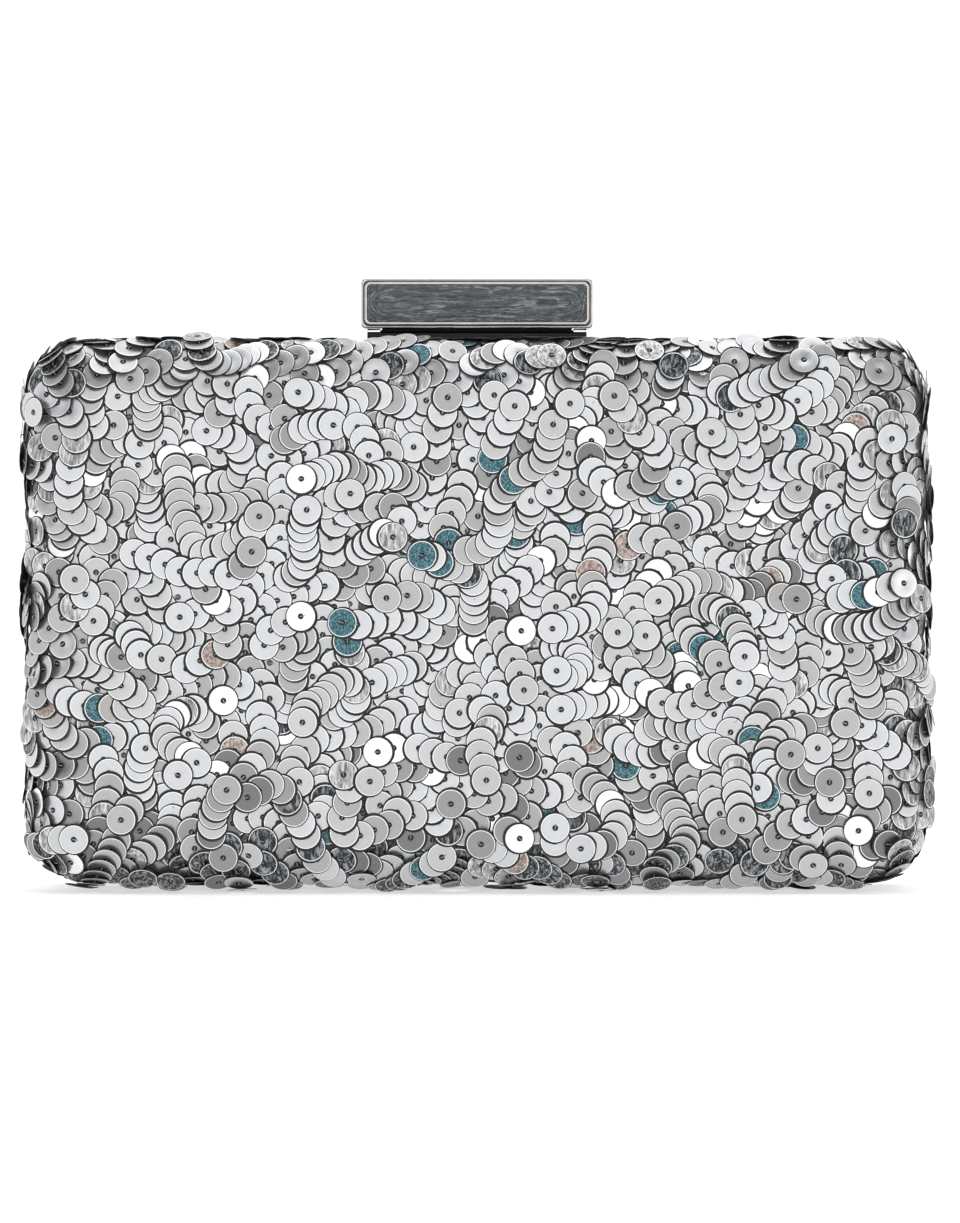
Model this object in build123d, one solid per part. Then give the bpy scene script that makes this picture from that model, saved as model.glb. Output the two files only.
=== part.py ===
from build123d import *
import os

os.makedirs("parts", exist_ok=True)

# Evening bag: a hard box clutch in two equal halves, joined by hinges along the bottom and
# shut by a spring-loaded bar clasp on top. Millimetres. +Z up, the front faces -Y, +X is to
# the right. The origin is under the middle of the bag, on the parting plane y = 0.

# ---- driving dimensions ----
BODY_W = 187.0        # outside of the covers, along X
BODY_H = 112.0        # along Z
HALF_D = 23.0         # from the parting plane to a cover's face
CORNER_R = 12.0       # outline corners
EDGE_R = 9.0          # rounding of a face into the sides

COVER_T = 1.2         # embroidered cloth
PAD_T = 1.3           # wadding under the cloth
SHELL_T = 1.8         # moulded box
LINING_T = 0.8        # satin lining on its card

RIM_GAP = 0.25        # from the parting plane to each metal rim
RAIL_OFF = 1.5        # the rim's outer face lies this far inside the covers' outline
RAIL_END = 4.0        # the rim reaches this far from the parting plane
COVER_END = 4.2       # the covers stop this far from the parting plane
RAIL_LIP_T = 0.7      # thickness of the rim's lip over the edge of the shell

HINGE_X = 55.0        # each hinge's centre
HINGE_L = 24.0        # hinge length
KNUCKLE_R = 1.5
KNUCKLE_GAP = 0.3     # between neighbouring knuckles
PIN_R = 0.75
PIN_PRESS = 0.01      # radial clearance where a pin is held
PIN_RUN = 0.05        # radial clearance where a part turns
LEAF_T = 0.6
LEAF_NECK = 1.9       # the leaf's plate starts this far from the hinge axis
NOTCH_R = 1.9         # rims and shells are cut back this far round the knuckles

RIVET_R = 0.8
RIVET_HEAD_R = 1.15
RIVET_HEAD_T = 0.45
SINK_R = 1.4          # countersunk head of a clasp rivet
SINK_T = 0.9

BAR_W = 49.0          # clasp bar, along X
BAR_FRONT = -5.2
BAR_BACK = 4.4
BAR_Z0 = 115.7
BAR_Z1 = 126.2
BAR_WALL = 1.2
BAR_R = 0.9           # the bar's corners, seen from the front
BAR_FRONT_R = 0.35    # rounding of its front edges
BAR_BACK_R = 0.8
GROOVE_W = 0.3        # groove round the bezel
GROOVE_D = 0.4
BEZEL_MARGIN = 0.7    # from the bar's outline to the bezel
BEZEL_W = 0.5         # width of the raised lip
BEZEL_RISE = 0.5
BEZEL_R = 1.2
INLAY_R = 0.9
INLAY_DEPTH = 0.5
INLAY_RISE = 0.25

PIVOT_Y = 2.4         # clasp pin
PIVOT_Z = 119.0
CLASP_PIN_R = 0.7
EAR_X = 16.0          # centre of each bracket ear
EAR_T = 2.0
EAR_R = 1.2
LUG_R = 1.5
LUG_T = 2.0
PART_GAP = 0.3        # between a fixed and a moving piece
SLOT_HALF = 20.6      # half width of the opening in the bar's back wall
SLOT_TOP = 1.7        # the opening reaches this far above the pin

BASE_W = 46.5         # front plate of the clasp
BASE_TOP = 115.0
BASE_INNER = 0.35     # both clasp mounts stop this far from the parting plane
LIP_W = 41.0
LIP_H = 0.4
LIP_FRONT, LIP_BACK = -3.4, -2.2
BRACKET_W = 41.0
BRACKET_TOP = 112.6
FLANGE_W = 40.4       # turned up from the bracket, it closes the gap below the bar
FLANGE_T = 0.5
FLANGE_TOP = 116.4

SPRING_R = 1.35       # middle of the wire
SPRING_WIRE = 0.3
SPRING_TURNS = 8.25
SPRING_PITCH = 0.72
SPRING_LEG = 4.6

POCKET_W = 118.0
POCKET_Z0, POCKET_Z1 = 9.0, 70.0
POCKET_T = 0.8
POCKET_DEEP = 1.2

PIVOT_LOW = RAIL_OFF  # height of the lid hinges' axis
MID_Z = BODY_H / 2
LINING_OFF = COVER_T + PAD_T + SHELL_T
SHELL_OFF = COVER_T + PAD_T


def box(x0, x1, y0, y1, z0, z1):
    """A block between two opposite corners."""
    return Pos((x0 + x1) / 2, (y0 + y1) / 2, (z0 + z1) / 2) * Box(x1 - x0, y1 - y0, z1 - z0)


def x_rod(x0, x1, y, z, r):
    """A round rod along X."""
    return Pos((x0 + x1) / 2, y, z) * Rot(0, 90, 0) * Cylinder(r, x1 - x0)


def z_rod(x, y, z0, z1, r):
    """A round rod along Z."""
    return Pos(x, y, (z0 + z1) / 2) * Cylinder(r, z1 - z0)


def slab(off, y0, y1):
    """The bag's outline, off inside the covers, from y0 to y1."""
    outline = RectangleRounded(BODY_W - 2 * off, BODY_H - 2 * off, CORNER_R - off)
    return extrude(Plane((0, y1, MID_Z), x_dir=(1, 0, 0), z_dir=(0, -1, 0)) * outline, y1 - y0)


def front_solid(off, inner):
    """The front half's full shape, off inside the covers, ending at y = -inner."""
    block = slab(off, -HALF_D + off, -inner)
    face = block.faces().sort_by(Axis.Y)[0]
    return fillet(face.edges(), EDGE_R - off)


def front_tray(off, wall, rim):
    """An open tray with its outer face off inside the covers and its edge at y = -rim."""
    return front_solid(off, rim) - front_solid(off + wall, 0)


def to_back(shape):
    """The same piece in the back half."""
    return mirror(shape, about=Plane.XZ)


def hinge_notches(reach):
    """Room for the knuckles in the rims and shells."""
    half = HINGE_L / 2 + PART_GAP
    cuts = [box(s * HINGE_X - half, s * HINGE_X + half, -reach, reach, -1, PIVOT_LOW + NOTCH_R)
            for s in (-1, 1)]
    return cuts[0] + cuts[1]


def hinge_rivet_places():
    """Hinge rivets of the front half: two in each leaf."""
    y = -(LEAF_NECK + RAIL_END) / 2
    return [(s * HINGE_X + d * HINGE_L / 3, y) for s in (-1, 1) for d in (-1, 1)]


def clasp_rivet_places():
    """Clasp rivets of the front half."""
    return [(d * BASE_W / 3, -(RAIL_LIP_T + RIM_GAP + RAIL_END) / 2) for d in (-1, 0, 1)]


def make_hinge_rivets():
    """Shanks through leaf, rim and shell, with a head under the leaf."""
    low = PIVOT_LOW - LEAF_T
    made = []
    for x, y in hinge_rivet_places():
        head = z_rod(x, y, low - RIVET_HEAD_T, low, RIVET_HEAD_R)
        head = fillet(head.edges().sort_by(Axis.Z)[0], RIVET_HEAD_T * 0.6)
        made.append(head + z_rod(x, y, low, LINING_OFF, RIVET_R))
    return made


def make_clasp_rivets(top):
    """Countersunk rivets up through shell and rim into a clasp mount."""
    low = BODY_H - LINING_OFF
    made = []
    for x, y in clasp_rivet_places():
        head = Pos(x, y, low + SINK_T / 2) * Cone(SINK_R, RIVET_R, SINK_T)
        made.append(head + z_rod(x, y, low + SINK_T, top, RIVET_R))
    return made


def make_rail():
    """The front rim: a band round the outside with a lip over the edge of the shell."""
    band = slab(RAIL_OFF, -RAIL_END, -RIM_GAP) - slab(SHELL_OFF, -RAIL_END, -RIM_GAP)
    lip = slab(RAIL_OFF, -RIM_GAP - RAIL_LIP_T, -RIM_GAP) - slab(LINING_OFF, -RAIL_END, 0)
    return band + lip


def knuckles(x, parts):
    """Spans of one leaf's knuckles, out of the hinge's three."""
    third = (HINGE_L - 2 * KNUCKLE_GAP) / 3
    starts = [x - HINGE_L / 2 + i * (third + KNUCKLE_GAP) for i in parts]
    return [(a, a + third) for a in starts]


def make_leaf(x, parts, bore, side):
    """One hinge leaf, outside the rim: side is -1 in front and 1 at the back."""
    y_in, y_out = side * LEAF_NECK, side * RAIL_END
    low = PIVOT_LOW - LEAF_T
    leaf = box(x - HINGE_L / 2, x + HINGE_L / 2, min(y_in, y_out), max(y_in, y_out), low, PIVOT_LOW)
    for a, b in knuckles(x, parts):
        leaf += box(a, b, min(0, y_in), max(0, y_in), low, PIVOT_LOW)
        leaf += x_rod(a, b, 0, PIVOT_LOW, KNUCKLE_R)
    return leaf - x_rod(x - HINGE_L, x + HINGE_L, 0, PIVOT_LOW, bore)


def make_hinge_pin(x):
    return x_rod(x - HINGE_L / 2, x + HINGE_L / 2, 0, PIVOT_LOW, PIN_R)


def make_clasp_base():
    """Plate on the front rim that the bar shuts over, with a low catch lip."""
    plate = box(-BASE_W / 2, BASE_W / 2, -RAIL_END, -BASE_INNER, BODY_H - RAIL_OFF, BASE_TOP)
    plate = chamfer(plate.edges().filter_by(Axis.X).group_by(Axis.Z)[-1], 0.3)
    lip = box(-LIP_W / 2, LIP_W / 2, LIP_FRONT, LIP_BACK, BASE_TOP - 0.5, BASE_TOP + LIP_H)
    return plate + lip


def make_clasp_bracket():
    """Bracket on the back rim with two ears for the clasp pin and a flange that closes the gap below the bar."""
    plate = box(-BRACKET_W / 2, BRACKET_W / 2, BASE_INNER, RAIL_END, BODY_H - RAIL_OFF, BRACKET_TOP)
    plate += box(-FLANGE_W / 2, FLANGE_W / 2, BASE_INNER, BASE_INNER + FLANGE_T, BRACKET_TOP - 0.2, FLANGE_TOP)
    for s in (-1, 1):
        x0, x1 = s * EAR_X - EAR_T / 2, s * EAR_X + EAR_T / 2
        plate += box(x0, x1, PIVOT_Y - EAR_R, PIVOT_Y + EAR_R, BRACKET_TOP - 0.2, PIVOT_Z)
        plate += x_rod(x0, x1, PIVOT_Y, PIVOT_Z, EAR_R)
    return plate - x_rod(-BAR_W / 2, BAR_W / 2, PIVOT_Y, PIVOT_Z, CLASP_PIN_R + PIN_PRESS)


def front_plate(margin, radius, y0, y1):
    """A rounded rectangle on the bar's front face, margin inside its outline."""
    shape = RectangleRounded(BAR_W - 2 * margin, BAR_Z1 - BAR_Z0 - 2 * margin, radius)
    plane = Plane((0, y1, (BAR_Z0 + BAR_Z1) / 2), x_dir=(1, 0, 0), z_dir=(0, -1, 0))
    return extrude(plane * shape, y1 - y0)


def make_bar():
    """Hollow bar, open below, with lugs on the pin, a recess for the inlay and a groove round it."""
    bar = front_plate(0, BAR_R, BAR_FRONT, BAR_BACK)
    bar = fillet(bar.faces().sort_by(Axis.Y)[0].edges(), BAR_FRONT_R)
    bar = fillet(bar.faces().sort_by(Axis.Y)[-1].edges(), BAR_BACK_R)
    inner = BAR_W / 2 - BAR_WALL
    bar -= box(-inner, inner, BAR_FRONT + BAR_WALL + INLAY_DEPTH, BAR_BACK - BAR_WALL,
               BAR_Z0 - 1, BAR_Z1 - BAR_WALL)
    bar -= box(-SLOT_HALF, SLOT_HALF, BAR_BACK - BAR_WALL - 0.5, BAR_BACK + 1,
               BAR_Z0 - 1, PIVOT_Z + SLOT_TOP)
    near = EAR_X + EAR_T / 2 + PART_GAP
    for s in (-1, 1):
        x0, x1 = sorted((s * near, s * (near + LUG_T)))
        bar += box(x0, x1, PIVOT_Y - LUG_R, PIVOT_Y + LUG_R / 2, PIVOT_Z, BAR_Z1 - BAR_WALL / 2)
        bar += x_rod(x0, x1, PIVOT_Y, PIVOT_Z, LUG_R)
    reach = near + LUG_T
    bar -= x_rod(-reach, reach, PIVOT_Y, PIVOT_Z, CLASP_PIN_R + PIN_RUN)
    groove = front_plate(BEZEL_MARGIN - GROOVE_W, BEZEL_R, BAR_FRONT - 1, BAR_FRONT + GROOVE_D)
    bar -= groove - front_plate(BEZEL_MARGIN, BEZEL_R, BAR_FRONT - 2, BAR_FRONT + 1)
    return bar - front_plate(BEZEL_MARGIN + BEZEL_W, INLAY_R, BAR_FRONT - 1, BAR_FRONT + INLAY_DEPTH)


def make_bezel():
    """Raised lip round the inlay."""
    ring = front_plate(BEZEL_MARGIN, BEZEL_R, BAR_FRONT - BEZEL_RISE, BAR_FRONT)
    ring = fillet(ring.faces().sort_by(Axis.Y)[0].edges(), BEZEL_W * 0.45)
    return ring - front_plate(BEZEL_MARGIN + BEZEL_W, INLAY_R, BAR_FRONT - 2 * BEZEL_RISE, BAR_FRONT + 1)


def make_inlay():
    """Enamel plate in the bar's recess."""
    plate = front_plate(BEZEL_MARGIN + BEZEL_W, INLAY_R, BAR_FRONT - INLAY_RISE, BAR_FRONT + INLAY_DEPTH)
    return fillet(plate.faces().sort_by(Axis.Y)[0].edges(), INLAY_RISE * 0.8)


def make_clasp_pin():
    reach = EAR_X + EAR_T / 2 + PART_GAP + LUG_T
    return x_rod(-reach, reach, PIVOT_Y, PIVOT_Z, CLASP_PIN_R)


def make_spring():
    """Torsion spring round the clasp pin: one leg down to the bracket, one forwards in the bar."""
    length = SPRING_TURNS * SPRING_PITCH
    coil = Pos(-length / 2, PIVOT_Y, PIVOT_Z) * Rot(0, 90, 0) * Rot(0, 0, 90) * Helix(
        SPRING_PITCH, length, SPRING_R)
    ends = [(coil @ 0, -(coil % 0), PIVOT_Z - BRACKET_TOP - SPRING_WIRE - PART_GAP / 2),
            (coil @ 1, coil % 1, SPRING_LEG)]
    wire = sweep(Plane(ends[0][0], z_dir=coil % 0) * Circle(SPRING_WIRE), path=coil, is_frenet=True)
    for place, direction, reach in ends:
        wire += extrude(Plane(place, z_dir=direction) * Circle(SPRING_WIRE), reach)
    return wire


def make_pocket():
    """Slip pocket on the back half's lining: a flat panel open at the top."""
    back = HALF_D - LINING_OFF - LINING_T
    front = back - POCKET_DEEP - POCKET_T
    half = POCKET_W / 2
    panel = box(-half, half, front, back, POCKET_Z0, POCKET_Z1)
    return panel - box(-half + POCKET_T, half - POCKET_T, front + POCKET_T, back + 1,
                       POCKET_Z0 + POCKET_T, POCKET_Z1 + 1)


def joined(shapes):
    """Several separate solids as one node."""
    return Compound(children=list(shapes))


def cut(shape, tools):
    for tool in tools:
        shape -= tool
    return shape


def build():
    """Every piece, by the name of its node."""
    parts = {}
    hinge_rivets = make_hinge_rivets()
    clasp_rivets = make_clasp_rivets(BASE_TOP - 1.5)
    bracket_rivets = [to_back(r) for r in make_clasp_rivets(BRACKET_TOP)
                      if abs(r.center().X) < BRACKET_W / 2]
    notches = hinge_notches(NOTCH_R)
    shell = front_tray(SHELL_OFF, SHELL_T, RIM_GAP + RAIL_LIP_T) - notches
    rail = make_rail() - notches
    cover = front_tray(0, COVER_T, COVER_END)
    padding = front_tray(COVER_T, PAD_T, COVER_END)
    lining = front_tray(LINING_OFF, LINING_T, RIM_GAP + RAIL_LIP_T)

    parts["front_cover"] = cover
    parts["front_padding"] = padding
    parts["front_shell"] = cut(shell, hinge_rivets + clasp_rivets)
    parts["front_rail"] = cut(rail, hinge_rivets + clasp_rivets)
    parts["front_lining"] = lining
    parts["back_cover"] = to_back(cover)
    parts["back_padding"] = to_back(padding)
    parts["back_shell"] = cut(to_back(shell), [to_back(r) for r in hinge_rivets] + bracket_rivets)
    parts["back_rail"] = cut(to_back(rail), [to_back(r) for r in hinge_rivets] + bracket_rivets)
    parts["back_lining"] = to_back(lining)
    parts["slip_pocket"] = make_pocket()

    for side, x in (("left", -HINGE_X), ("right", HINGE_X)):
        front = make_leaf(x, (1,), PIN_R + PIN_RUN, -1)
        back = make_leaf(x, (0, 2), PIN_R + PIN_PRESS, 1)
        parts[side + "_hinge_front_leaf"] = cut(front, hinge_rivets)
        parts[side + "_hinge_back_leaf"] = cut(back, [to_back(r) for r in hinge_rivets])
        parts[side + "_hinge_pin"] = make_hinge_pin(x)
    parts["front_hinge_rivets"] = joined(hinge_rivets)
    parts["back_hinge_rivets"] = joined([to_back(r) for r in hinge_rivets])

    parts["clasp_base"] = cut(make_clasp_base(), clasp_rivets)
    parts["clasp_base_rivets"] = joined(clasp_rivets)
    parts["clasp_bracket"] = cut(make_clasp_bracket(), bracket_rivets)
    parts["clasp_bracket_rivets"] = joined(bracket_rivets)
    parts["clasp_bar"] = make_bar()
    parts["clasp_bezel"] = make_bezel()
    parts["clasp_inlay"] = make_inlay()
    parts["clasp_pin"] = make_clasp_pin()
    parts["clasp_spring"] = make_spring()
    return parts


for name, shape in build().items():
    export_step(shape, "parts/" + name + ".step")
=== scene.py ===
"""Looks of a sequinned box clutch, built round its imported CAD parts. Lengths are in metres."""
import math

import bpy
import numpy as np
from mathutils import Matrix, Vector
from mathutils.kdtree import KDTree


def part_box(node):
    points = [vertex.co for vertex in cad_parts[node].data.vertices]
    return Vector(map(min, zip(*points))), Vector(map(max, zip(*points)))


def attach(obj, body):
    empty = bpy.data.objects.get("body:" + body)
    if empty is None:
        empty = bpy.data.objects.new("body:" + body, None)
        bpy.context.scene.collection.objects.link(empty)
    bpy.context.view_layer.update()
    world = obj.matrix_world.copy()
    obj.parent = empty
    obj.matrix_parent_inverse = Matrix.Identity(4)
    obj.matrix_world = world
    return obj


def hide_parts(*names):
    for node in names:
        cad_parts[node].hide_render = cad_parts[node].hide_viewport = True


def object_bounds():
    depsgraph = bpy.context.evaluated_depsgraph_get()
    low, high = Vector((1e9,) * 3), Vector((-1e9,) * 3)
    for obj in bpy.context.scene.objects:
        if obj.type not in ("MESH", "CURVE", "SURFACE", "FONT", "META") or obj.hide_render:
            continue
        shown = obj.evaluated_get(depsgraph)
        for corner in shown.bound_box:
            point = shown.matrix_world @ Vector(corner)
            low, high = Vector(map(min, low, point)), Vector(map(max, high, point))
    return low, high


MM = 0.001
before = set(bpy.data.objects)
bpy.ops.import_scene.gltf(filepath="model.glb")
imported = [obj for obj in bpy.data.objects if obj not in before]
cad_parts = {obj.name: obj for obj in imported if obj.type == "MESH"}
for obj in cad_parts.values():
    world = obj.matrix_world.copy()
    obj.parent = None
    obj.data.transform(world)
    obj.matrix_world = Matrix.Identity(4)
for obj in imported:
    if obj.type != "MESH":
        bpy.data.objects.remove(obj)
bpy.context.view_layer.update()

# ---- the covers' shape, as in the CAD ----
LOW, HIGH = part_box("front_cover")
HALF_W = HIGH.x                      # half width over the covers
MID_Z = (LOW.z + HIGH.z) / 2
HALF_H = (HIGH.z - LOW.z) / 2
HALF_D = -LOW.y
RIM_Y = -HIGH.y                      # the covers end this far from the parting plane
CORNER_R = 12 * MM
EDGE_R = 9 * MM
CORE_X, CORE_Z = HALF_W - CORNER_R, HALF_H - CORNER_R
FACE_R = CORNER_R - EDGE_R           # corner radius of the flat part of a face
ARC = EDGE_R * math.pi / 2
REACH = FACE_R + ARC + HALF_D - EDGE_R - RIM_Y   # chart distance from the core to a cover's edge

# ---- sequins ----
SEQUIN_R = 3.0 * MM
SEQUIN_T = 0.14 * MM
SHADOW_SKIRT = 0.38 * MM                     # how far the dark cut edge slopes out below the foil, a painted shadow under the rim
HOLE_R = 0.62 * MM
SIDES = 24
STEP = 3.0 * MM                      # between neighbours in one chain
APART = 4.2 * MM                     # between chains
FILL = 3.2 * MM                      # closer than this, a gap gets no sequin of its own
PASSES = (                           # room left round a sequin, gap that starts a chain, longest chain
    (APART, 0.98 * APART, 16), (0.9 * APART, 0.86 * APART, 5), (FILL, FILL, 2))
BARE_EDGE = 2.7 * MM                 # strip along the opening that has no sequins
BARE_BY_CLASP = 3.3 * MM             # the same against the clasp
CLASP_REACH = 27 * MM                # half the length that the clasp needs bare
SEQUIN_GAP = 0.19 * MM               # between the middles of two that overlap
SINK = 0.05 * MM                     # how far a sequin's rim may press into the cloth


# ---------------------------------------------------------------- surfaces

def puff(pos, normal):
    """How far the padded cover swells out of the hard box at each point."""
    x, z = pos[:, 0] / HALF_W, (pos[:, 2] - MID_Z) / HALF_H
    side = np.abs(normal[:, 0]) * (1 - z ** 2) * 0.3 * MM
    face = np.abs(normal[:, 1]) * (1 - x ** 2) * (1 - z ** 2) * 1.6 * MM
    foot = np.maximum(-normal[:, 2], 0) * (1 - x ** 4) * 0.9 * MM
    fade = np.clip((-pos[:, 1] - RIM_Y) / (5 * MM), 0, 1)
    return (side + face + foot) * fade * fade * (3 - 2 * fade)


def chart(uv, swell=True):
    """Points and normals of the front cover. uv unrolls it: the face stays put, the sides fold out."""
    core = np.clip(uv, (-CORE_X, -CORE_Z), (CORE_X, CORE_Z))
    out = uv - core
    d = np.hypot(out[:, 0], out[:, 1])
    e = out / np.maximum(d, 1e-12)[:, None]
    phi = np.clip((d - FACE_R) / EDGE_R, 0, math.pi / 2)
    rad = np.minimum(d, FACE_R) + EDGE_R * np.sin(phi)
    y = -HALF_D + EDGE_R * (1 - np.cos(phi)) + np.maximum(0, d - FACE_R - ARC)
    pos = np.stack([core[:, 0] + e[:, 0] * rad, y, MID_Z + core[:, 1] + e[:, 1] * rad], 1)
    normal = np.stack([e[:, 0] * np.sin(phi), -np.cos(phi), e[:, 1] * np.sin(phi)], 1)
    if swell:
        pos = pos + normal * puff(pos, normal)[:, None]
    return pos, normal


def core_distance(uv):
    core = np.clip(uv, (-CORE_X, -CORE_Z), (CORE_X, CORE_Z))
    return np.hypot(uv[:, 0] - core[:, 0], uv[:, 1] - core[:, 1])


def new_mesh(name, verts, quads, body, materials, which=None):
    """A mesh object of quads, riding on a CAD body."""
    me = bpy.data.meshes.new(name)
    quads = np.ascontiguousarray(quads, np.int32)
    me.vertices.add(len(verts))
    me.vertices.foreach_set("co", np.ascontiguousarray(verts, np.float32).ravel())
    me.loops.add(quads.size)
    me.loops.foreach_set("vertex_index", quads.ravel())
    me.polygons.add(len(quads))
    me.polygons.foreach_set("loop_start", np.arange(0, quads.size, 4, dtype=np.int32))
    for m in materials:
        me.materials.append(m)
    if which is not None:
        me.polygons.foreach_set("material_index", np.ascontiguousarray(which, np.int32))
    me.update(calc_edges=True)
    me.validate()
    ob = bpy.data.objects.new(name, me)
    bpy.context.scene.collection.objects.link(ob)
    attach(ob, body)
    return ob


def mirrored(verts, quads, back):
    """The same mesh for the back half."""
    if not back:
        return verts, quads
    return verts * (1, -1, 1), quads[:, ::-1]


def smooth(ob, angle=35):
    """Smooth shading, with edges sharper than angle kept."""
    ob.data.polygons.foreach_set("use_smooth", np.ones(len(ob.data.polygons), bool))
    ob.data.set_sharp_from_angle(angle=math.radians(angle))
    return ob


def perimeter(count):
    """Directions round the core rectangle: a core point and an outward direction for each."""
    quarter = count // 4
    pts, outs = [], []
    for k, (sx, sz) in enumerate(((1, 1), (-1, 1), (-1, -1), (1, -1))):
        arc = quarter // 3
        for i in range(arc + 1):
            a = math.pi / 2 * (k + i / arc)
            pts.append((sx * CORE_X, sz * CORE_Z))
            outs.append((math.cos(a), math.sin(a)))
        run = quarter - arc - 1
        nx, nz = ((-1, 1), (-1, -1), (1, -1), (1, 1))[k]
        for i in range(1, run + 1):
            f = i / (run + 1)
            pts.append((sx * CORE_X * (1 - f) + nx * CORE_X * f, sz * CORE_Z * (1 - f) + nz * CORE_Z * f))
            a = math.pi / 2 * (k + 1)
            outs.append((math.cos(a), math.sin(a)))
    return np.array(pts), np.array(outs)


def tray(profile, count, lift=None, swell=True, inner=12):
    """A closed shell from a profile of (chart distance, depth under the cover) pairs.

    The profile starts and ends in the middle of the face, so its two ends close with a cap."""
    core, out = perimeter(count)
    rings, first, last = [], profile[0], profile[-1]
    for k in range(inner):
        rings.append((core * ((k + 0.35) / inner), first[1]))
    for d, depth in profile:
        rings.append((core + out * d, depth))
    for k in reversed(range(inner)):
        rings.append((core * ((k + 0.35) / inner), last[1]))
    n = len(core)
    verts = []
    for uv, depth in rings:
        pos, normal = chart(uv, swell)
        extra = np.zeros(len(uv)) if lift is None else lift(uv, pos)
        verts.append(pos - normal * (depth + extra)[:, None])
    verts = np.concatenate(verts)
    a = np.arange(n)
    b = (a + 1) % n
    quads = [np.stack([k * n + a, (k + 1) * n + a, (k + 1) * n + b, k * n + b], 1)
             for k in range(len(rings) - 1)]
    caps = []
    for base, turn in ((0, 1), ((len(rings) - 1) * n, -1)):
        half = n // 2
        for i in range(half - 1):
            q = [base + i, base + i + 1, base + n - 2 - i, base + n - 1 - i]
            caps.append(q[::turn])
    return verts, np.concatenate(quads + [np.array(caps)])


# ---------------------------------------------------------------- sequin layout

class Cells:
    """Sequin centres by cell, for finding near ones."""

    def __init__(self, size):
        self.size, self.cells = size, {}

    def key(self, p):
        return tuple(int(math.floor(c / self.size)) for c in p)

    def add(self, i, p):
        self.cells.setdefault(self.key(p), []).append((i, p))

    def near(self, p):
        kx, ky, kz = self.key(p)
        for x in (kx - 1, kx, kx + 1):
            for y in (ky - 1, ky, ky + 1):
                for z in (kz - 1, kz, kz + 1):
                    yield from self.cells.get((x, y, z), ())


def allowed(pos):
    """True where a sequin may be sewn: not over the cover's edge, nor against the clasp."""
    edge = -pos[1] - RIM_Y
    by_clasp = abs(pos[0]) < CLASP_REACH and pos[2] > MID_Z + HALF_H - 2 * MM
    return edge >= (BARE_BY_CLASP if by_clasp else BARE_EDGE)


def lay_chains(rng):
    """Overlapping chains of sequins that wander over the cover.

    Returns each sequin's chart point, heading and chain, and each chain's pass."""
    tries = rng.uniform((-CORE_X - REACH, -CORE_Z - REACH), (CORE_X + REACH, CORE_Z + REACH), (26000, 2))
    tries = tries[core_distance(tries) < REACH - 2 * MM]
    tries3 = chart(tries)[0]
    ok = np.array([allowed(p) for p in tries3])
    tries, tries3 = tries[ok], tries3[ok]
    nearest = np.full(len(tries), 9.0)
    cells = Cells(2 * SEQUIN_R)
    uvs, pos, headings, chain_of = [], [], [], []

    def add(uv, p, heading, chain):
        cells.add(len(uvs), p)
        uvs.append(uv)
        pos.append(p)
        headings.append(heading)
        chain_of.append(chain)
        np.minimum(nearest, np.linalg.norm(tries3 - p, axis=1), out=nearest)

    def step(uv, p, heading, length):
        """The chart point a real distance away, along a chart heading."""
        ahead = np.array([math.cos(heading), math.sin(heading)])
        reach = length
        for _ in range(3):
            q = chart((uv + ahead * reach)[None])[0][0]
            got = np.linalg.norm(q - p)
            reach *= length / max(got, 0.2 * length)
        return uv + ahead * reach, q

    def room(p, skip, apart):
        for i, q in cells.near(p):
            gap = math.dist(p, q)
            if i == skip[0]:
                continue
            if gap < (0.78 * apart if i in skip[1:] else apart):
                return False
        return True

    chain, layers = 0, []
    for layer, (apart, least, longest) in enumerate(PASSES):
        while True:
            free = np.nonzero(nearest > least)[0]
            if len(free) == 0:
                break
            pick = free[np.argmin(nearest[free] + rng.uniform(0, 1.2 * MM, len(free)))]
            uv, p = tries[pick], tries3[pick]
            heading = rng.uniform(0, 2 * math.pi)
            bend = rng.normal(0, 0.35)
            pace = STEP * rng.uniform(0.64, 1.16)
            add(uv, p, heading, chain)
            for _ in range(int(rng.integers(longest // 3 + 1, longest + 1)) - 1):
                bend = float(np.clip(0.6 * bend + rng.normal(0, 0.3), -0.75, 0.75))
                heading += bend
                last = len(uvs) - 1
                skip = [last] + [i for i in (last - 1, last - 2) if i >= 0 and chain_of[i] == chain]
                length = pace * rng.uniform(0.92, 1.08)
                found = None
                side = 1 if rng.random() < 0.5 else -1
                for turn in (0, 0.4, -0.4, 0.8, -0.8, 1.2, -1.2, 1.6, -1.6):
                    uv2, q = step(uv, p, heading + side * turn, length)
                    if core_distance(uv2[None])[0] > REACH or not allowed(q):
                        continue
                    if room(q, skip, 0.88 * apart):
                        found = heading + side * turn
                        break
                if found is None:
                    break
                heading, uv, p = found, uv2, q
                add(uv, p, heading, chain)
            chain += 1
            layers.append(layer)
    return np.array(uvs), np.array(headings), np.array(chain_of), np.array(layers)


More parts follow.
